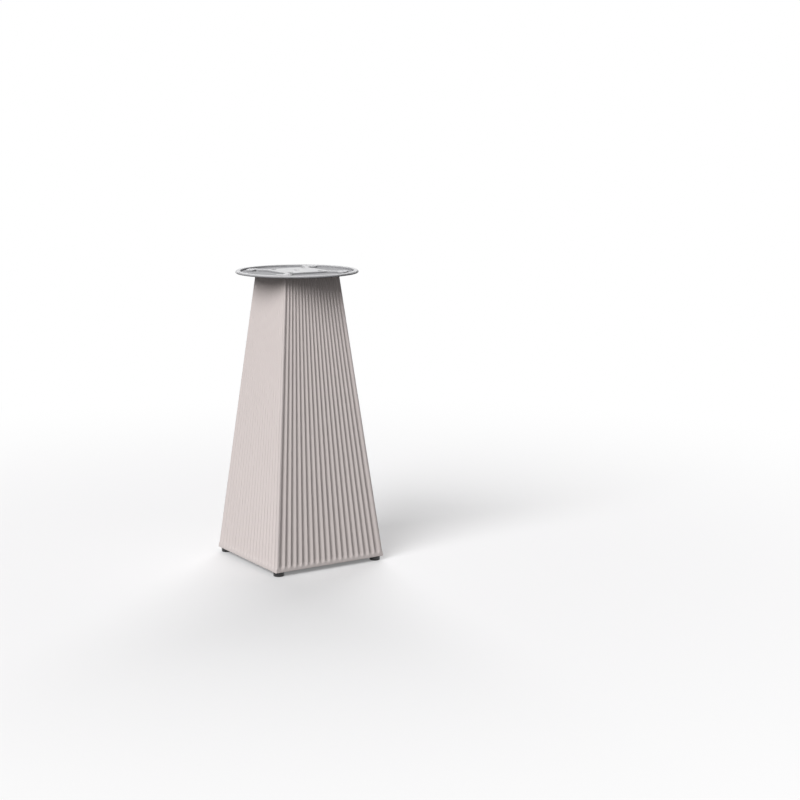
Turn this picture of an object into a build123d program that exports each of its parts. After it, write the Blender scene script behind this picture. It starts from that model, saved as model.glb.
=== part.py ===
"""A fluted pedestal table base: a tapered square body, a round cast top plate and four levelling feet."""

import os
from math import asin, cos, hypot, radians, sin

from build123d import *

# Overall sizes, in millimetres, with the floor at height zero
total_height = 718.0
foot_height = 11.0
base_width = 304.0
top_width = 150.0
plate_height = 5.5
faces_of_body = 4
corner_angle = 45.0

# Flutes, with their sizes given at the lower edge of the body
flutes_per_face = 18
corner_strip = 8.0
flute_depth = 3.8
ridge_width = 1.2
band_height = 10.5
flute_overshoot = 4.0

# Flat strips that make up the round of a flute, and the rows of them in its lower end
flute_strips = 5
flute_end_rows = 2
flute_end_angle = 60.0

# Body shell
wall = 5.0
closed_end_wall = 6.0
band_corner_radius = 2.0
fluted_corner_radius = 5.0
lower_edge_chamfer = 1.2

# Threaded inserts of hexagonal bar, and the thread that they share with the screws and the feet
hexagon_sides = 6
thread_radius = 4.0
thread_clearance = 0.08
insert_across_flats = 13.0
insert_length = 26.0
insert_boss_radius = 11.0
insert_boss_end_wall = 4.0

# Top plate
plate_setback = 2.0
plate_floor = 1.5
plate_rim_width = 11.0
plate_rim_top_chamfer = 2.4
plate_rim_bottom_chamfer = 1.5
hub_inset = 16.5
hub_corner_radius = 12.0
rib_width = 12.0
boss_hole_outer_inset = 62.5
boss_hole_inner_inset = 75.0
boss_hole_radius = 3.5
boss_width = 22.0
hub_centre_hole_radius = 8.0

# Screws of the top plate
plate_screw_inset = 33.5
screw_length = 20.0
screw_head_radius = 6.5
screw_head_height = 3.2
screw_head_below_top = 0.3
screw_head_clearance = 0.5
screw_shank_clearance = 0.5
socket_across_flats = 5.0
socket_depth = 2.0

# Levelling feet
foot_inset = 16.0
glide_radius = 13.0
glide_gap = 0.3
stud_reach = 22.0
stud_head_across_flats = 13.0
stud_head_thickness = 5.3
stud_head_height = 3.0

# Worked out from the sizes above
plate_bottom = total_height - plate_height
body_height = plate_bottom - foot_height
apex_height = body_height * base_width / (base_width - top_width)
flute_pitch = (base_width - 2 * corner_strip) / flutes_per_face
flute_width = flute_pitch - ridge_width
flute_radius = (flute_width**2 / 4 + flute_depth**2) / (2 * flute_depth)
flute_axis_offset = flute_radius - flute_depth
flute_half_turn = asin(flute_width / 2 / flute_radius) * (1 + 1 / flute_strips)
thread_bore = thread_radius + thread_clearance
plate_diameter = base_width - 2 * plate_setback
plate_screw_spacing = top_width - 2 * plate_screw_inset
foot_spacing = base_width - 2 * foot_inset
glide_top = foot_height - glide_gap


def taper(height):
    """Size of a body section, as a share of the lower edge, at a height above that edge."""
    return 1 - height / apex_height


def body_width(height):
    """Outer width of the body at a height above its lower edge."""
    return base_width * taper(height)


def cavity_corners(height):
    """Corners of the hollow at a height, which leave the wall behind the deepest line of the flutes."""
    half_width = body_width(height) / 2 - flute_depth * taper(height) - wall
    sides = (-half_width, half_width)
    return [(x, y, foot_height + height) for x in sides for y in sides]


def flute_place(index):
    """Middle of a flute along its face, at the lower edge."""
    return (index - (flutes_per_face - 1) / 2) * flute_pitch


def flute_ring(index, height, radius):
    """Points round a flute's section, which begin and end a little outside the face."""
    middle_x = flute_place(index) * taper(height)
    middle_y = -(base_width / 2 + flute_axis_offset) * taper(height)
    angles = [flute_half_turn * (2 * strip / flute_strips - 1) for strip in range(flute_strips + 1)]
    return [(middle_x + radius * sin(a), middle_y + radius * cos(a), foot_height + height) for a in angles]


def flute_tool(index):
    """Cutter of one flute of the front face, tapered to the body's apex, with a ball as its low end."""
    ball_height = band_height + flute_width / 2
    ball_radius = flute_radius * taper(ball_height)
    high_end = body_height + flute_overshoot
    points = flute_ring(index, high_end, flute_radius * taper(high_end))
    for row in range(flute_end_rows + 1):
        angle = radians(flute_end_angle * row / flute_end_rows)
        points += flute_ring(index, ball_height - ball_radius * sin(angle), ball_radius * cos(angle))
    with BuildPart() as tool:
        ConvexPolyhedron(points)
    return tool.part


# Fluted body
flute_tools = [flute_tool(index) for index in range(flutes_per_face)]
boss_length = insert_length + insert_boss_end_wall
with BuildPart() as fluted_body:
    with BuildSketch(Plane.XY.offset(foot_height)):
        RectangleRounded(base_width, base_width, band_corner_radius)
    with BuildSketch(Plane.XY.offset(foot_height + band_height)):
        band_top_width = body_width(band_height)
        RectangleRounded(band_top_width, band_top_width, band_corner_radius * taper(band_height))
    loft(ruled=True)
    chamfer(fluted_body.edges().group_by(Axis.Z)[0], lower_edge_chamfer)

    with BuildSketch(Plane.XY.offset(foot_height + band_height)):
        RectangleRounded(band_top_width, band_top_width, fluted_corner_radius * taper(band_height))
    with BuildSketch(Plane.XY.offset(plate_bottom)):
        RectangleRounded(top_width, top_width, fluted_corner_radius * taper(body_height))
    loft(ruled=True)

    ConvexPolyhedron(
        cavity_corners(closed_end_wall) + cavity_corners(body_height - closed_end_wall), mode=Mode.SUBTRACT
    )

    with BuildSketch(Plane.XY.offset(foot_height)):
        with GridLocations(foot_spacing, foot_spacing, 2, 2):
            Circle(insert_boss_radius)
    extrude(amount=boss_length)
    with BuildSketch(Plane.XY.offset(plate_bottom)):
        with GridLocations(plate_screw_spacing, plate_screw_spacing, 2, 2):
            Circle(insert_boss_radius)
    extrude(amount=-boss_length)

    for first in (0, 1):
        with PolarLocations(0, faces_of_body):
            add(flute_tools[first::2], mode=Mode.SUBTRACT)

    with BuildSketch(Plane.XY.offset(foot_height)):
        with GridLocations(foot_spacing, foot_spacing, 2, 2):
            RegularPolygon(insert_across_flats / 2, hexagon_sides, major_radius=False)
    extrude(amount=insert_length, mode=Mode.SUBTRACT)
    with BuildSketch(Plane.XY.offset(plate_bottom)):
        with GridLocations(plate_screw_spacing, plate_screw_spacing, 2, 2):
            RegularPolygon(insert_across_flats / 2, hexagon_sides, major_radius=False)
    extrude(amount=-insert_length, mode=Mode.SUBTRACT)
fluted_body.part.label = "fluted_body"

# Threaded inserts moulded into the body
with BuildPart() as foot_inserts:
    with BuildSketch(Plane.XY.offset(foot_height)):
        with GridLocations(foot_spacing, foot_spacing, 2, 2):
            RegularPolygon(insert_across_flats / 2, hexagon_sides, major_radius=False)
            Circle(thread_bore, mode=Mode.SUBTRACT)
    extrude(amount=insert_length)
foot_inserts.part.label = "foot_inserts"

with BuildPart() as plate_inserts:
    with BuildSketch(Plane.XY.offset(plate_bottom)):
        with GridLocations(plate_screw_spacing, plate_screw_spacing, 2, 2):
            RegularPolygon(insert_across_flats / 2, hexagon_sides, major_radius=False)
            Circle(thread_bore, mode=Mode.SUBTRACT)
    extrude(amount=-insert_length)
plate_inserts.part.label = "plate_inserts"

# Cast top plate
plate_radius = plate_diameter / 2
hub_width = top_width - 2 * hub_inset
boss_hole_long = plate_diameter - 2 * boss_hole_outer_inset
boss_hole_short = plate_diameter - 2 * boss_hole_inner_inset
boss_offset = (boss_hole_long + boss_hole_short) / 4
boss_distance = hypot(boss_offset, boss_offset)
boss_hole_step = (boss_hole_long - boss_hole_short) / 2
boss_hole_spacing = hypot(boss_hole_step, boss_hole_step)
with BuildPart() as top_plate:
    with BuildSketch(Plane.XY.offset(plate_bottom)):
        Circle(plate_radius)
    extrude(amount=plate_height)
    chamfer(top_plate.edges().group_by(Axis.Z)[-1], plate_rim_top_chamfer)
    chamfer(top_plate.edges().group_by(Axis.Z)[0], plate_rim_bottom_chamfer)
    with BuildSketch(Plane.XY.offset(plate_bottom + plate_floor)):
        Circle(plate_radius - plate_rim_width)
        RectangleRounded(hub_width, hub_width, hub_corner_radius, mode=Mode.SUBTRACT)
        for rib_angle in (corner_angle, -corner_angle):
            Rectangle(2 * boss_distance, rib_width, rotation=rib_angle, mode=Mode.SUBTRACT)
        with PolarLocations(boss_distance, faces_of_body, start_angle=corner_angle):
            SlotCenterToCenter(boss_hole_spacing, boss_width, rotation=90, mode=Mode.SUBTRACT)
    extrude(amount=plate_height, mode=Mode.SUBTRACT)
    with BuildSketch(Plane.XY.offset(total_height)):
        with GridLocations(boss_hole_long, boss_hole_short, 2, 2):
            Circle(boss_hole_radius)
        with GridLocations(boss_hole_short, boss_hole_long, 2, 2):
            Circle(boss_hole_radius)
        Circle(hub_centre_hole_radius)
    extrude(amount=-plate_height, mode=Mode.SUBTRACT)
    with Locations((0, 0, total_height)):
        with GridLocations(plate_screw_spacing, plate_screw_spacing, 2, 2):
            CounterBoreHole(
                thread_radius + screw_shank_clearance,
                screw_head_radius + screw_head_clearance,
                screw_head_height + screw_head_below_top,
                depth=plate_height,
            )
top_plate.part.label = "top_plate"

# Screws that hold the plate, with round heads sunk in its hub
screw_top = total_height - screw_head_below_top
screw_seat = screw_top - screw_head_height
with BuildPart() as plate_screws:
    with BuildSketch(Plane.XY.offset(screw_seat)):
        with GridLocations(plate_screw_spacing, plate_screw_spacing, 2, 2):
            Circle(screw_head_radius)
    extrude(amount=screw_head_height)
    with BuildSketch(Plane.XY.offset(screw_seat)):
        with GridLocations(plate_screw_spacing, plate_screw_spacing, 2, 2):
            Circle(thread_radius)
    extrude(amount=-screw_length)
    with BuildSketch(Plane.XY.offset(screw_top)):
        with GridLocations(plate_screw_spacing, plate_screw_spacing, 2, 2):
            RegularPolygon(socket_across_flats / 2, hexagon_sides, major_radius=False)
    extrude(amount=-socket_depth, mode=Mode.SUBTRACT)
plate_screws.part.label = "plate_screws"

# Levelling feet: the head of a steel stud moulded into a black glide
stud_tip = foot_height + stud_reach
stud_head_top = stud_head_height + stud_head_thickness
with BuildPart() as foot_stud:
    with BuildSketch(Plane.XY.offset(stud_head_height)):
        RegularPolygon(stud_head_across_flats / 2, hexagon_sides, major_radius=False)
    extrude(amount=stud_head_thickness)
    with BuildSketch(Plane.XY.offset(stud_head_top)):
        Circle(thread_radius)
    extrude(amount=stud_tip - stud_head_top)

with BuildPart() as foot_glide:
    with BuildSketch():
        Circle(glide_radius)
    extrude(amount=glide_top)
    add(foot_stud.part, mode=Mode.SUBTRACT)

# Export
foot_places = {
    "front_left": (-foot_spacing / 2, -foot_spacing / 2),
    "front_right": (foot_spacing / 2, -foot_spacing / 2),
    "back_right": (foot_spacing / 2, foot_spacing / 2),
    "back_left": (-foot_spacing / 2, foot_spacing / 2),
}
pieces = [fluted_body.part, top_plate.part, plate_screws.part, plate_inserts.part, foot_inserts.part]
for place, centre in foot_places.items():
    for piece, kind in ((foot_glide.part, "foot_glide"), (foot_stud.part, "foot_stud")):
        placed = piece.moved(Location((*centre, 0)))
        placed.label = f"{kind}_{place}"
        pieces.append(placed)

os.makedirs("parts", exist_ok=True)
for piece in pieces:
    export_step(piece, f"parts/{piece.label}.step")
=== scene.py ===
"""Finishes a fluted pedestal table base: its smooth shell, its levelling feet with threads, and its surfaces."""

from math import pi, radians, tau

import bpy
import numpy as np
from bpy.props import FloatProperty, FloatVectorProperty, IntProperty, PointerProperty
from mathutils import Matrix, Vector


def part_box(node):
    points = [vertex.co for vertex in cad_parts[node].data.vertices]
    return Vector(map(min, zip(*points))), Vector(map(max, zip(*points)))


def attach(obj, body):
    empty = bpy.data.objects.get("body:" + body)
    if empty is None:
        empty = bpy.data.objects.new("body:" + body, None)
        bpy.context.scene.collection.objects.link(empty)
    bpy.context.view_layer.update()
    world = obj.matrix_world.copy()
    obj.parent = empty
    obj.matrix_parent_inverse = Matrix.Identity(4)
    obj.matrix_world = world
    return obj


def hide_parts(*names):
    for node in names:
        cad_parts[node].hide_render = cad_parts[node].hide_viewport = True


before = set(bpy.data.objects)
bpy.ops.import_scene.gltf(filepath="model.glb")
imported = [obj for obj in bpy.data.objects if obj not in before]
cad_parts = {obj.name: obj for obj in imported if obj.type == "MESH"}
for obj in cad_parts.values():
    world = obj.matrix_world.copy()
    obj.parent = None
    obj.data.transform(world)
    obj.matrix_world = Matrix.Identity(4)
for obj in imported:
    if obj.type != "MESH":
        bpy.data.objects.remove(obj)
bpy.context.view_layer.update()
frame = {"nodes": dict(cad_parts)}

bl_info = {
    "name": "Fluted pedestal table base",
    "version": (1, 0, 0),
    "blender": (4, 5, 0),
    "location": "View3D > Sidebar > Pedestal",
    "description": "Builds the shell, feet, finishes and studio of a fluted pedestal table base",
    "category": "Add Mesh",
}

foot_corners = ("front_left", "front_right", "back_right", "back_left")
body_low, body_high = (np.array(corner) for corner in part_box("fluted_body"))

# How far, in metres, each end of the shell stays back from the ends of the inserts and from the plate
seat_gap = 0.0001

# How finely the surfaces are divided
lower_edge_rows = 7
flute_end_rows = 36
upper_rows = 22
points_across_flute = 14
points_round_corner = 12
points_round_glide = 96
points_round_glide_edge = 9
points_round_stud = 48
thread_rows = 200

# Angles past which an edge looks sharp
shell_sharp_angle = radians(60)
glide_sharp_angle = radians(35)
stud_sharp_angle = radians(50)

# Angle from one flat of a hexagon to the next
sixth_turn = tau / 6

# Width of the camera's sensor, in millimetres
sensor_width = 36.0


def length(name, description, default):
    """A size in metres that the sidebar shows with its unit."""
    return FloatProperty(name=name, description=description, default=default, min=0, precision=5, unit="LENGTH")


def colour(name, description, default):
    """A linear colour that the sidebar shows as a swatch."""
    return FloatVectorProperty(name=name, description=description, default=default, subtype="COLOR", min=0, max=1)


class ShellSettings(bpy.types.PropertyGroup):
    """Sizes of the fluted shell, with those of the flutes given at its lower edge."""

    base_width: length("Base width", "Width across two faces at the lower edge", 0.304)
    top_width: length("Top width", "Width across two faces under the plate", 0.150)
    flutes: IntProperty(name="Flutes", description="Number of flutes on each face", default=18, min=1)
    corner_strip: length("Corner strip", "Plain strip between a corner and the first flute", 0.008)
    flute_depth: length("Flute depth", "Depth in the middle of a flute", 0.0032)
    flute_bottom: length("Flute bottom", "How far the bottom of a flute is rounded", 0.0012)
    run_out: FloatProperty(
        name="Run-out", description="Length of a flute's end, in half widths of the flute", default=1.4, min=0.1
    )
    ridge_width: length("Ridge width", "Flat between two flutes", 0.0008)
    ridge_softness: length("Ridge softness", "How far the edge of a ridge is rounded", 0.0005)
    flute_start: length("Flute start", "Height of the lower tips of the flutes above the lower edge", 0.006)
    band_height: length("Band height", "Height of the band whose corners are sharper", 0.0105)
    band_corner: length("Band corner", "Corner radius of that band", 0.002)
    fluted_corner: length("Fluted corner", "Corner radius between two fluted faces", 0.005)
    corner_blend: length("Corner blend", "Height over which the corner radius changes", 0.0012)
    lower_edge: length("Lower edge", "Radius of the lower edge", 0.0012)
    plastic: colour("Plastic", "Colour of the moulded plastic", (0.61, 0.552, 0.537))
    plastic_deep: colour("Plastic, deep", "Colour of the faint clouds in the plastic", (0.595, 0.537, 0.522))


class FootSettings(bpy.types.PropertyGroup):
    """Sizes and colours of the levelling feet."""

    thread_radius: length("Thread radius", "Outer radius of the stud's thread", 0.004)
    thread_pitch: length("Thread pitch", "Distance between two turns of the stud's thread", 0.00125)
    thread_depth: length("Thread depth", "Depth of the stud's thread", 0.0007)
    tip_bevel: length("Tip bevel", "Bevel at the upper end of the stud", 0.001)
    head_thickness: length("Head thickness", "Thickness of the stud's hexagonal head", 0.0053)
    sole_edge: length("Sole edge", "Radius of the glide's lower edge", 0.0018)
    upper_edge: length("Upper edge", "Radius of the glide's upper edge", 0.0012)
    glide: colour("Glide", "Colour of the glossy glide", (0.012, 0.012, 0.013))
    glide_worn: colour("Glide, worn", "Colour of the glide where it is dull", (0.022, 0.022, 0.023))


class MetalSettings(bpy.types.PropertyGroup):
    """Colours of the metal pieces."""

    casting: colour("Casting", "Colour of the plate's machined faces", (0.55, 0.55, 0.56))
    casting_dull: colour("Casting, dull", "Colour of the duller patches of those faces", (0.5, 0.5, 0.51))
    # Painted shade: the pockets below the machined faces take this darker colour in place of the shade that falls in
    # them
    pocket_shade_colour: colour("Pocket shade", "Painted shade in the plate's pockets", (0.26, 0.26, 0.27))
    pocket_depth: length("Pocket depth", "How far below the machined faces the painted pocket shade reaches", 0.003)
    screw: colour("Screw", "Colour of the blackened screws", (0.06, 0.06, 0.062))
    screw_worn: colour("Screw, worn", "Colour of the screws where the black is thin", (0.1, 0.1, 0.102))
    steel: colour("Steel", "Colour of the studs", (0.56, 0.56, 0.57))
    steel_dull: colour("Steel, dull", "Colour of the duller patches of steel", (0.46, 0.46, 0.47))
    brass: colour("Brass", "Colour of the threaded inserts", (0.72, 0.52, 0.24))
    brass_dull: colour("Brass, dull", "Colour of the duller patches of brass", (0.6, 0.42, 0.19))


class StudioSettings(bpy.types.PropertyGroup):
    """The floor, light and camera of the studio."""

    floor: colour("Floor", "Colour of the floor", (0.73, 0.726, 0.733))
    floor_bounce: colour("Floor bounce", "Colour of the light that the floor throws back up", (0.1, 0.099, 0.1))
    floor_glow: FloatProperty(
        name="Floor glow",
        description="Share of plain white in the floor that the camera sees",
        default=0.2, min=0, max=1, subtype="FACTOR",
    )
    floor_size: length("Floor size", "Width of the floor", 60.0)
    fade_start: length("Fade start", "Distance from the pedestal at which the floor begins to turn white", 0.5)
    fade_end: length("Fade end", "Distance from the pedestal at which the floor is white", 2.4)
    key_strength: FloatProperty(name="Key strength", description="Strength of the main lamp", default=3.32, min=0)
    key_angle: FloatProperty(
        name="Key size", description="Angle that the main lamp fills", default=radians(40), subtype="ANGLE"
    )
    key_from: FloatVectorProperty(
        name="Key from",
        description="Where the main light comes from",
        default=(-0.748, -0.334, 0.574), subtype="XYZ",
    )
    back_strength: FloatProperty(name="Back strength", description="Strength of the lamp behind", default=2.8, min=0)
    back_angle: FloatProperty(
        name="Back size", description="Angle that the lamp behind fills", default=radians(50), subtype="ANGLE"
    )
    back_from: FloatVectorProperty(
        name="Back from",
        description="Where the light behind comes from",
        default=(0.474, 0.732, 0.489), subtype="XYZ",
    )
    front_strength: FloatProperty(
        name="Front strength", description="Strength of the lamp in front", default=0.45, min=0
    )
    front_angle: FloatProperty(
        name="Front size", description="Angle that the lamp in front fills", default=radians(100), subtype="ANGLE"
    )
    front_from: FloatVectorProperty(
        name="Front from",
        description="Where the light in front comes from",
        default=(-0.397, -0.852, 0.342), subtype="XYZ",
    )
    sky_strength: FloatProperty(name="Sky", description="Strength of the light all round", default=0.12, min=0)
    camera_place: FloatVectorProperty(
        name="Camera place",
        description="Where the camera stands",
        default=(-2.02571, -3.59296, 1.11838), subtype="TRANSLATION", unit="LENGTH",
    )
    camera_turn: FloatProperty(
        name="Camera turn", description="Turn from the Y axis towards X", default=radians(32.9057), subtype="ANGLE"
    )
    camera_tilt: FloatProperty(
        name="Camera tilt", description="Tilt below the horizon", default=radians(9.9514), subtype="ANGLE"
    )
    focal_length: FloatProperty(
        name="Focal length", description="Focal length on a 36 mm sensor, in millimetres", default=76.0506
    )


class PedestalSettings(bpy.types.PropertyGroup):
    """All settings of the pedestal."""

    shell: PointerProperty(type=ShellSettings)
    foot: PointerProperty(type=FootSettings)
    metal: PointerProperty(type=MetalSettings)
    studio: PointerProperty(type=StudioSettings)


def smooth_step(start, end, value):
    """Rises from 0 at start to 1 at end along a cubic that is level at both ends."""
    share = np.clip((value - start) / (end - start), 0, 1)
    return share * share * (3 - 2 * share)


def closed_surface(name, rings, sharp_angle):
    """Closed mesh through rings of points that run anticlockwise, from the lowest ring to the highest.

    Four-sided faces join each ring to the next, and a fan of triangles closes the first and last rings.
    """
    count, around, _ = rings.shape
    points = np.concatenate([rings.reshape(-1, 3), rings[[0, -1]].mean(axis=1)])
    index = np.arange(count * around).reshape(count, around)
    turned = np.roll(index, -1, axis=1)
    sides = np.stack([index[:-1], turned[:-1], turned[1:], index[1:]], axis=-1).reshape(-1, 4)
    low_fan = np.stack([turned[0], index[0], np.full(around, count * around)], axis=-1)
    high_fan = np.stack([index[-1], turned[-1], np.full(around, count * around + 1)], axis=-1)
    mesh = bpy.data.meshes.new(name)
    mesh.from_pydata(points.tolist(), [], sides.tolist() + low_fan.tolist() + high_fan.tolist())
    mesh.shade_smooth()
    mesh.set_sharp_from_angle(angle=sharp_angle)
    piece = bpy.data.objects.new(name, mesh)
    bpy.context.scene.collection.objects.link(piece)
    return piece


def turned_rings(radii, heights, centre, angles):
    """Rings round a vertical axis: each point lies at its radius from the axis, at its angle and its height."""
    around = np.broadcast_to(radii, (len(heights), len(angles)))
    return np.stack(
        [
            centre[0] + around * np.cos(angles),
            centre[1] + around * np.sin(angles),
            np.broadcast_to(heights[:, None], around.shape),
        ],
        axis=-1,
    )


def shell_rows(shell, height):
    """Heights above the lower edge of the rows of the shell, and how far the edge's rounding draws each row in.

    The rows crowd where the lower edge turns and where the flutes end, and spread out above.
    """
    turn = np.linspace(0, pi / 2, lower_edge_rows)
    edge = shell.lower_edge * (1 - np.cos(turn))
    inset = shell.lower_edge * (1 - np.sin(turn))
    full_depth = shell.flute_start + shell.run_out * shell.base_width / shell.flutes
    near = np.linspace((shell.lower_edge + shell.flute_start) / 2, full_depth, flute_end_rows)
    far = np.linspace(full_depth, height, upper_rows)[1:]
    heights = np.concatenate([edge, near, far])
    return heights, np.concatenate([inset, np.zeros(len(near) + len(far))])


def shell_rings(shell, height):
    """Rings of the fluted shell, as offsets from the middle of its lower edge.

    Every section is the same outline, drawn in towards one apex. A flute's depth falls along a hyperbola of the
    distance from its middle line, so its bottom is round and its flanks are nearly straight. Past the lower end
    of that line the distance is taken from the end, over the run-out. A smooth maximum of that depth and zero
    rounds the ridges. Quarter circles join the faces.
    """
    half = shell.base_width / 2
    pitch = 2 * (half - shell.corner_strip) / shell.flutes
    flute_half = (pitch - shell.ridge_width) / 2
    rows, inset = shell_rows(shell, height)
    taper = 1 - rows / height * (1 - shell.top_width / shell.base_width)

    samples = np.sin(np.linspace(-pi / 2, pi / 2, points_across_flute + 1)[:-1]) * pitch / 2
    middles = (np.arange(shell.flutes) - (shell.flutes - 1) / 2) * pitch
    across = np.append((middles[:, None] + samples).ravel(), half - shell.corner_strip)
    from_middle = np.append(np.tile(samples, shell.flutes), pitch / 2)
    below_end = np.maximum(shell.flute_start + shell.run_out * flute_half - rows, 0) / shell.run_out
    away = np.hypot(from_middle[None, :], below_end[:, None])
    fall = np.hypot(away, shell.flute_bottom) - shell.flute_bottom
    depth = shell.flute_depth * (1 - fall / (np.hypot(flute_half, shell.flute_bottom) - shell.flute_bottom))
    depth = (depth + np.sqrt(depth**2 + shell.ridge_softness**2)) / 2

    change = smooth_step(shell.band_height, shell.band_height + shell.corner_blend, rows)
    corner = shell.band_corner + (shell.fluted_corner - shell.band_corner) * change
    turn = np.linspace(-pi / 2, 0, points_round_corner)
    corner_x = half - corner[:, None] * (1 - np.cos(turn))
    corner_y = -half + corner[:, None] * (1 + np.sin(turn))

    face_x = np.concatenate([np.broadcast_to(across, depth.shape), corner_x], axis=1)
    face_y = np.concatenate([depth - half, corner_y], axis=1)
    scale = (taper * (1 - inset / half))[:, None]
    x, y = face_x * scale, face_y * scale
    ring_x = np.concatenate([x, -y, -x, y], axis=1)
    ring_y = np.concatenate([y, x, -y, -x], axis=1)
    return np.stack([ring_x, ring_y, np.broadcast_to(rows[:, None], ring_x.shape)], axis=-1)


def stud_rings(foot, low, high, centre):
    """Rings of a stud: a hexagonal head, then a thread, then a bevelled tip.

    The head's radius is half its width across flats, over the cosine of the angle from the middle of the nearest
    flat. The thread's radius falls from the outside by a cosine wave of the height, in pitches, less the angle, in
    turns. The bevel takes more and more off it towards the tip.
    """
    angles = np.arange(points_round_stud) * tau / points_round_stud
    head_top = low[2] + foot.head_thickness
    half_across_flats = (high[1] - low[1]) / 2
    hexagon = half_across_flats / np.cos(angles % sixth_turn - sixth_turn / 2)
    tip = high[2]
    heights = np.linspace(head_top, tip, thread_rows)
    wave = 0.5 - 0.5 * np.cos(tau * heights[:, None] / foot.thread_pitch - angles)
    bevel = np.maximum(heights - (tip - foot.tip_bevel), 0)[:, None]
    thread = foot.thread_radius - np.maximum(foot.thread_depth * wave, bevel)
    radii = np.concatenate([hexagon[None], hexagon[None], thread])
    levels = np.concatenate([[low[2], head_top], heights])
    return turned_rings(radii, levels, centre, angles)


def glide_rings(foot, low, high, centre):
    """Rings of a glide: a flat sole, a straight wall and a flat top, joined by quarter circles, and turned."""
    radius = (high[0] - low[0]) / 2
    turn = np.linspace(0, pi / 2, points_round_glide_edge)
    sole_r = radius - foot.sole_edge * (1 - np.sin(turn))
    sole_z = low[2] + foot.sole_edge * (1 - np.cos(turn))
    top_r = radius - foot.upper_edge * (1 - np.cos(turn))
    top_z = high[2] - foot.upper_edge * (1 - np.sin(turn))
    radii = np.concatenate([sole_r, top_r])[:, None]
    heights = np.concatenate([sole_z, top_z])
    angles = np.arange(points_round_glide) * tau / points_round_glide
    return turned_rings(radii, heights, centre, angles)


def surface_group():
    """Node group of the marks that every surface has: a fine grain, and broad soft patches."""
    group = bpy.data.node_groups.new("grain_and_patches", "ShaderNodeTree")
    for name, default in (("Grain scale", 900.0), ("Patch scale", 9.0)):
        socket = group.interface.new_socket(name, in_out="INPUT", socket_type="NodeSocketFloat")
        socket.default_value = default
    for name in ("Grain", "Patches"):
        group.interface.new_socket(name, in_out="OUTPUT", socket_type="NodeSocketFloat")
    nodes, links = group.nodes, group.links
    entry = nodes.new("NodeGroupInput")
    leave = nodes.new("NodeGroupOutput")
    place = nodes.new("ShaderNodeTexCoord")
    for scale, result, detail in (("Grain scale", "Grain", 2.0), ("Patch scale", "Patches", 4.0)):
        noise = nodes.new("ShaderNodeTexNoise")
        noise.inputs["Detail"].default_value = detail
        links.new(place.outputs["Object"], noise.inputs["Vector"])
        links.new(entry.outputs[scale], noise.inputs["Scale"])
        links.new(noise.outputs["Fac"], leave.inputs[result])
    return group


def surface_finish(
    name, colours, roughness, grain_scale, grain_height, patch_scale, metallic=0.0, gloss=0.5, coat=0.0
):
    """Material whose colour and roughness drift between two values over soft patches, with a fine raised grain.

    The scales are those of the noises, per metre, and the grain's height is in metres.
    """
    material = bpy.data.materials.new(name)
    material.use_nodes = True
    nodes, links = material.node_tree.nodes, material.node_tree.links
    shader = nodes["Principled BSDF"]
    shader.inputs["Metallic"].default_value = metallic
    shader.inputs["Specular IOR Level"].default_value = gloss
    shader.inputs["Coat Weight"].default_value = coat
    marks = nodes.new("ShaderNodeGroup")
    marks.node_tree = bpy.data.node_groups.get("grain_and_patches") or surface_group()
    marks.inputs["Grain scale"].default_value = grain_scale
    marks.inputs["Patch scale"].default_value = patch_scale
    tint = nodes.new("ShaderNodeMix")
    tint.data_type = "RGBA"
    tint.inputs["A"].default_value = (*colours[0], 1)
    tint.inputs["B"].default_value = (*colours[1], 1)
    links.new(marks.outputs["Patches"], tint.inputs["Factor"])
    links.new(tint.outputs["Result"], shader.inputs["Base Color"])
    sheen = nodes.new("ShaderNodeMapRange")
    sheen.inputs["To Min"].default_value = roughness[0]
    sheen.inputs["To Max"].default_value = roughness[1]
    links.new(marks.outputs["Patches"], sheen.inputs["Value"])
    links.new(sheen.outputs["Result"], shader.inputs["Roughness"])
    bump = nodes.new("ShaderNodeBump")
    bump.inputs["Distance"].default_value = grain_height
    links.new(marks.outputs["Grain"], bump.inputs["Height"])
    links.new(bump.outputs["Normal"], shader.inputs["Normal"])
    return material


def paint_pocket_shade(material, metal, top):
    """Paints shade into the pockets: the colour turns darker below the machined faces, whose height is given."""
    nodes, links = material.node_tree.nodes, material.node_tree.links
    shader = nodes["Principled BSDF"]
    machined = shader.inputs["Base Color"].links[0].from_socket
    place = nodes.new("ShaderNodeTexCoord")
    height = nodes.new("ShaderNodeSeparateXYZ")
    links.new(place.outputs["Object"], height.inputs["Vector"])
    level = nodes.new("ShaderNodeMapRange")
    level.inputs["From Min"].default_value = top - metal.pocket_depth
    level.inputs["From Max"].default_value = top
    links.new(height.outputs["Z"], level.inputs["Value"])
    tint = nodes.new("ShaderNodeMix")
    tint.data_type = "RGBA"
    tint.inputs["A"].default_value = (*metal.pocket_shade_colour, 1)
    links.new(level.outputs["Result"], tint.inputs["Factor"])
    links.new(machined, tint.inputs["B"])
    links.new(tint.outputs["Result"], shader.inputs["Base Color"])


def dress(piece, material):
    """The piece shows this material alone."""
    piece.data.materials.clear()
    piece.data.materials.append(material)


class PEDESTAL_OT_fluted_shell(bpy.types.Operator):
    """Builds the smooth fluted shell in place of the body"""

    bl_idname = "pedestal.fluted_shell"
    bl_label = "Fluted shell"

    def execute(self, context):
        shell = context.scene.pedestal.shell
        height = body_high[2] - body_low[2] - 2 * seat_gap
        rings = shell_rings(shell, height)
        rings[..., 2] += body_low[2] + seat_gap
        piece = closed_surface("fluted_shell", rings, shell_sharp_angle)
        plastic = surface_finish(
            "moulded_plastic",
            colours=(shell.plastic, shell.plastic_deep),
            roughness=(0.46, 0.6),
            grain_scale=1400.0,
            grain_height=0.00004,
            patch_scale=11.0,
            gloss=0.2,
        )
        dress(piece, plastic)
        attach(piece, "pedestal")
        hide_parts("fluted_body")
        return {"FINISHED"}


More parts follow.
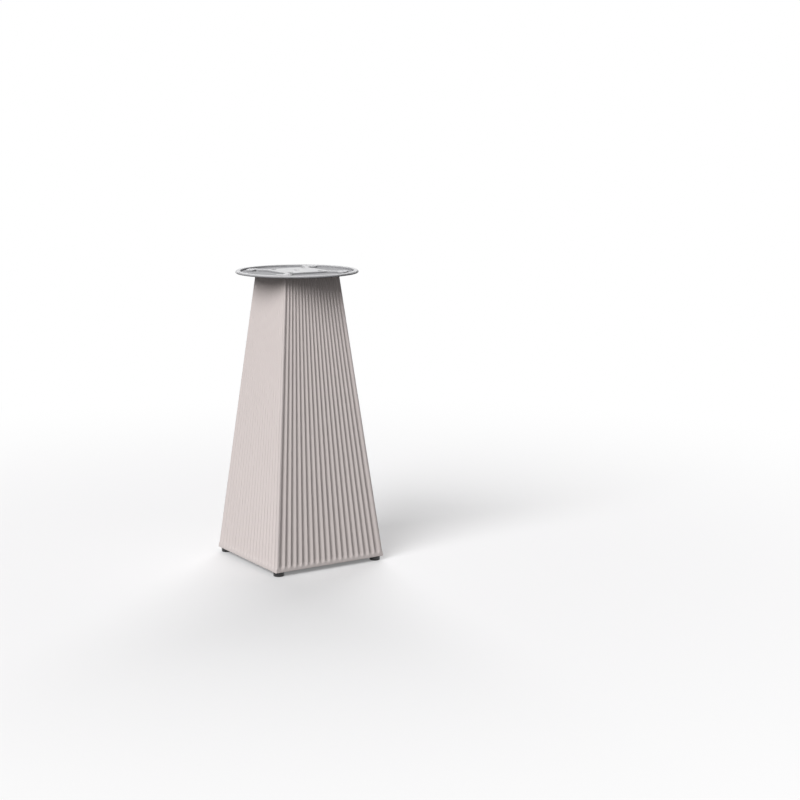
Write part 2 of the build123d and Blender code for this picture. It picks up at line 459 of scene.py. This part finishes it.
class PEDESTAL_OT_levelling_feet(bpy.types.Operator):
    """Builds the four glides and their threaded studs"""

    bl_idname = "pedestal.levelling_feet"
    bl_label = "Levelling feet"

    def execute(self, context):
        foot = context.scene.pedestal.foot
        metal = context.scene.pedestal.metal
        black = surface_finish(
            "gloss_glide",
            colours=(foot.glide, foot.glide_worn),
            roughness=(0.12, 0.24),
            grain_scale=700.0,
            grain_height=0.00001,
            patch_scale=60.0,
            coat=0.3,
        )
        zinc = surface_finish(
            "zinc_thread",
            colours=(metal.steel, metal.steel_dull),
            roughness=(0.26, 0.4),
            grain_scale=1800.0,
            grain_height=0.00001,
            patch_scale=120.0,
            metallic=1.0,
        )
        for corner in foot_corners:
            glide_low, glide_high = (np.array(end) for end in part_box(f"foot_glide_{corner}"))
            stud_low, stud_high = (np.array(end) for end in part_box(f"foot_stud_{corner}"))
            centre = (glide_low + glide_high) / 2
            rings = glide_rings(foot, glide_low, glide_high, centre)
            glide = closed_surface(f"glide_{corner}", rings, glide_sharp_angle)
            rings = stud_rings(foot, stud_low, stud_high, centre)
            stud = closed_surface(f"stud_{corner}", rings, stud_sharp_angle)
            for piece, node, material, slot in (
                (glide, f"foot_glide_{corner}", black, "black_glide"),
                (stud, f"foot_stud_{corner}", zinc, "steel"),
            ):
                dress(piece, material)
                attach(piece, f"foot_{corner}")
                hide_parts(node)
        return {"FINISHED"}


class PEDESTAL_OT_metal_pieces(bpy.types.Operator):
    """Gives the plate, its screws and the inserts their metal surfaces"""

    bl_idname = "pedestal.metal_pieces"
    bl_label = "Metal pieces"

    def execute(self, context):
        metal = context.scene.pedestal.metal
        casting = surface_finish(
            "satin_casting",
            colours=(metal.casting, metal.casting_dull),
            roughness=(0.5, 0.65),
            grain_scale=1100.0,
            grain_height=0.00006,
            patch_scale=24.0,
            gloss=0.15,
        )
        _, plate_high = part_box("top_plate")
        # Painted shade: the plate's pockets get a darker colour below its machined faces
        paint_pocket_shade(casting, metal, plate_high[2])
        black = surface_finish(
            "black_screw",
            colours=(metal.screw, metal.screw_worn),
            roughness=(0.4, 0.55),
            grain_scale=1600.0,
            grain_height=0.00001,
            patch_scale=90.0,
            gloss=0.2,
        )
        brass = surface_finish(
            "plain_brass",
            colours=(metal.brass, metal.brass_dull),
            roughness=(0.26, 0.4),
            grain_scale=1500.0,
            grain_height=0.00001,
            patch_scale=70.0,
            metallic=1.0,
        )
        nodes = frame["nodes"]
        dress(nodes["top_plate"], casting)
        dress(nodes["plate_screws"], black)
        dress(nodes["plate_inserts"], brass)
        dress(nodes["foot_inserts"], brass)
        return {"FINISHED"}


def seen_directly(nodes, links):
    """Socket that is 1 for what the camera sees straight, in gloss or through glass, and 0 for other light."""
    path = nodes.new("ShaderNodeLightPath")
    seen = path.outputs["Is Camera Ray"]
    for ray in ("Is Glossy Ray", "Is Transmission Ray"):
        either = nodes.new("ShaderNodeMath")
        either.operation = "MAXIMUM"
        links.new(seen, either.inputs[0])
        links.new(path.outputs[ray], either.inputs[1])
        seen = either.outputs[0]
    return seen


def floor_material(studio):
    """Matt floor that keeps the shadow near the pedestal and fades to white, for the eye alone, further off."""
    material = bpy.data.materials.new("pale_floor")
    material.use_nodes = True
    nodes, links = material.node_tree.nodes, material.node_tree.links
    nodes.clear()
    place = nodes.new("ShaderNodeTexCoord")
    distance = nodes.new("ShaderNodeVectorMath")
    distance.operation = "LENGTH"
    links.new(place.outputs["Object"], distance.inputs[0])
    fade = nodes.new("ShaderNodeMapRange")
    fade.interpolation_type = "SMOOTHSTEP"
    fade.inputs["From Min"].default_value = studio.fade_start
    fade.inputs["From Max"].default_value = studio.fade_end
    fade.inputs["To Min"].default_value = studio.floor_glow
    links.new(distance.outputs["Value"], fade.inputs["Value"])
    seen = seen_directly(nodes, links)
    glow = nodes.new("ShaderNodeMath")
    glow.operation = "MULTIPLY"
    links.new(seen, glow.inputs[0])
    links.new(fade.outputs["Result"], glow.inputs[1])
    shade = nodes.new("ShaderNodeMix")
    shade.data_type = "RGBA"
    shade.inputs["A"].default_value = (*studio.floor_bounce, 1)
    shade.inputs["B"].default_value = (*studio.floor, 1)
    links.new(seen, shade.inputs["Factor"])
    matt = nodes.new("ShaderNodeBsdfDiffuse")
    links.new(shade.outputs["Result"], matt.inputs["Color"])
    white = nodes.new("ShaderNodeEmission")
    blend = nodes.new("ShaderNodeMixShader")
    links.new(glow.outputs[0], blend.inputs["Fac"])
    links.new(matt.outputs["BSDF"], blend.inputs[1])
    links.new(white.outputs["Emission"], blend.inputs[2])
    result = nodes.new("ShaderNodeOutputMaterial")
    links.new(blend.outputs["Shader"], result.inputs["Surface"])
    return material


def studio_world(studio):
    """White for what the camera sees directly, in gloss or through glass, and an even soft light for the rest."""
    world = bpy.data.worlds.new("studio_world")
    world.use_nodes = True
    nodes, links = world.node_tree.nodes, world.node_tree.links
    nodes.clear()
    sky = nodes.new("ShaderNodeBackground")
    sky.inputs["Color"].default_value = (1, 1, 1, 1)
    sky.inputs["Strength"].default_value = studio.sky_strength
    white = nodes.new("ShaderNodeBackground")
    white.inputs["Color"].default_value = (1, 1, 1, 1)
    blend = nodes.new("ShaderNodeMixShader")
    links.new(seen_directly(nodes, links), blend.inputs["Fac"])
    links.new(sky.outputs["Background"], blend.inputs[1])
    links.new(white.outputs["Background"], blend.inputs[2])
    result = nodes.new("ShaderNodeOutputWorld")
    links.new(blend.outputs["Shader"], result.inputs["Surface"])
    return world


def hang_lamp(name, strength, angle, direction, in_gloss):
    """Far, soft lamp that fills an angle of the sky in the direction given, and may stay out of gloss."""
    lamp = bpy.data.lights.new(name, "SUN")
    lamp.energy = strength
    lamp.angle = angle
    hung = bpy.data.objects.new(name, lamp)
    hung.rotation_euler = direction.to_track_quat("Z", "Y").to_euler()
    hung.visible_glossy = in_gloss
    bpy.context.scene.collection.objects.link(hung)


class PEDESTAL_OT_studio(bpy.types.Operator):
    """Sets up the floor, the light and the camera"""

    bl_idname = "pedestal.studio"
    bl_label = "Studio"

    def execute(self, context):
        studio = context.scene.pedestal.studio
        scene = context.scene
        reach = studio.floor_size / 2
        mesh = bpy.data.meshes.new("floor")
        corners = [(-reach, -reach, 0), (reach, -reach, 0), (reach, reach, 0), (-reach, reach, 0)]
        mesh.from_pydata(corners, [], [range(len(corners))])
        floor = bpy.data.objects.new("floor", mesh)
        scene.collection.objects.link(floor)
        dress(floor, floor_material(studio))

        hang_lamp("key_light", studio.key_strength, studio.key_angle, studio.key_from, in_gloss=True)
        hang_lamp("back_light", studio.back_strength, studio.back_angle, studio.back_from, in_gloss=False)
        hang_lamp("front_light", studio.front_strength, studio.front_angle, studio.front_from, in_gloss=False)
        scene.world = studio_world(studio)
        scene.view_settings.view_transform = "Standard"

        lens = bpy.data.cameras.new("camera")
        lens.sensor_width = sensor_width
        lens.lens = studio.focal_length
        camera = bpy.data.objects.new("camera", lens)
        camera.location = studio.camera_place
        camera.rotation_euler = (pi / 2 - studio.camera_tilt, 0, -studio.camera_turn)
        scene.collection.objects.link(camera)
        scene.camera = camera
        return {"FINISHED"}


class PEDESTAL_PT_panel(bpy.types.Panel):
    """Lists the settings and the steps that build the pedestal"""

    bl_label = "Pedestal"
    bl_idname = "PEDESTAL_PT_panel"
    bl_space_type = "VIEW_3D"
    bl_region_type = "UI"
    bl_category = "Pedestal"

    def draw(self, context):
        settings = context.scene.pedestal
        for group in (settings.shell, settings.foot, settings.metal, settings.studio):
            box = self.layout.box()
            for name in group.__annotations__:
                box.prop(group, name)
        for operator in operators:
            self.layout.operator(operator.bl_idname)


operators = (
    PEDESTAL_OT_fluted_shell,
    PEDESTAL_OT_levelling_feet,
    PEDESTAL_OT_metal_pieces,
    PEDESTAL_OT_studio,
)
settings_groups = (ShellSettings, FootSettings, MetalSettings, StudioSettings, PedestalSettings)
classes = (*settings_groups, *operators, PEDESTAL_PT_panel)


def register():
    """Makes the settings, operators and panel known."""
    for cls in classes:
        bpy.utils.register_class(cls)
    bpy.types.Scene.pedestal = PointerProperty(type=PedestalSettings)


def unregister():
    """Takes the settings, operators and panel away again."""
    del bpy.types.Scene.pedestal
    for cls in reversed(classes):
        bpy.utils.unregister_class(cls)


def main():
    """Builds everything in order."""
    register()
    bpy.ops.pedestal.fluted_shell()
    bpy.ops.pedestal.levelling_feet()
    bpy.ops.pedestal.metal_pieces()
    bpy.ops.pedestal.studio()


if __name__ == "__main__":
    main()
